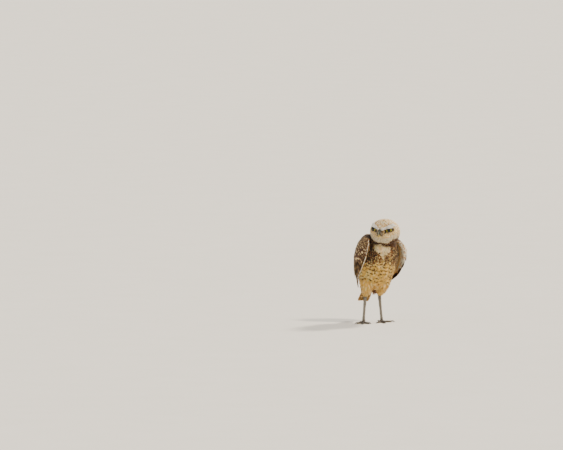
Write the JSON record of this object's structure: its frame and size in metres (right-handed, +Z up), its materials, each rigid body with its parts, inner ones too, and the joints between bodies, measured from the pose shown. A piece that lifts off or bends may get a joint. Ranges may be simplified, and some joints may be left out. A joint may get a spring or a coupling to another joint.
{
  "type": "burrowing owl model",
  "caption": "Still, life-size model of a burrowing owl standing on long legs, head turned to its right, free standing on its toes for display.",
  "frame": {"origin": "middle of the footprint of the whole bird, on the floor that the feet stand on", "axes": "+Z up, the body faces -Y and the bird's left side is towards +X"},
  "size_m": [0.1168, 0.1428, 0.2265],
  "materials": {
    "body_feathers": "soft matte feathers, buff with brown spots and bars",
    "head_feathers": "fine matte feathers, buff brown with white brows and throat",
    "wing_feathers": "matte brown flight feathers and coverts with pale spots",
    "tail_feathers": "matte brown tail feathers with pale bars",
    "leg_feathers": "soft plain buff feathers",
    "leg_skin": "dry scaly grey-buff skin with bristles",
    "claw": "dark smooth horn",
    "bill": "smooth horn, grey-green with a yellowish tip",
    "eye": "wet glossy eye, yellow iris round a black pupil"
  },
  "bodies": {
    "root": {"bill_lower": "bill", "bill_upper": "bill", "claw_left_1": "claw", "claw_left_2": "claw", "claw_left_3": "claw", "claw_left_4": "claw", "claw_right_1": "claw", "claw_right_2": "claw", "claw_right_3": "claw", "claw_right_4": "claw", "eye_left": "eye", "eye_right": "eye", "foot_left": "leg_skin", "foot_right": "leg_skin", "head": "head_feathers", "neck": "body_feathers", "shank_left": "leg_skin", "shank_right": "leg_skin", "tail": "tail_feathers", "thigh_left": "leg_feathers", "thigh_right": "leg_feathers", "toe_left_1": "leg_skin", "toe_left_2": "leg_skin", "toe_left_3": "leg_skin", "toe_left_4": "leg_skin", "toe_right_1": "leg_skin", "toe_right_2": "leg_skin", "toe_right_3": "leg_skin", "toe_right_4": "leg_skin", "torso": "body_feathers", "wing_left": "wing_feathers", "wing_right": "wing_feathers"}
  },
  "joints": []
}
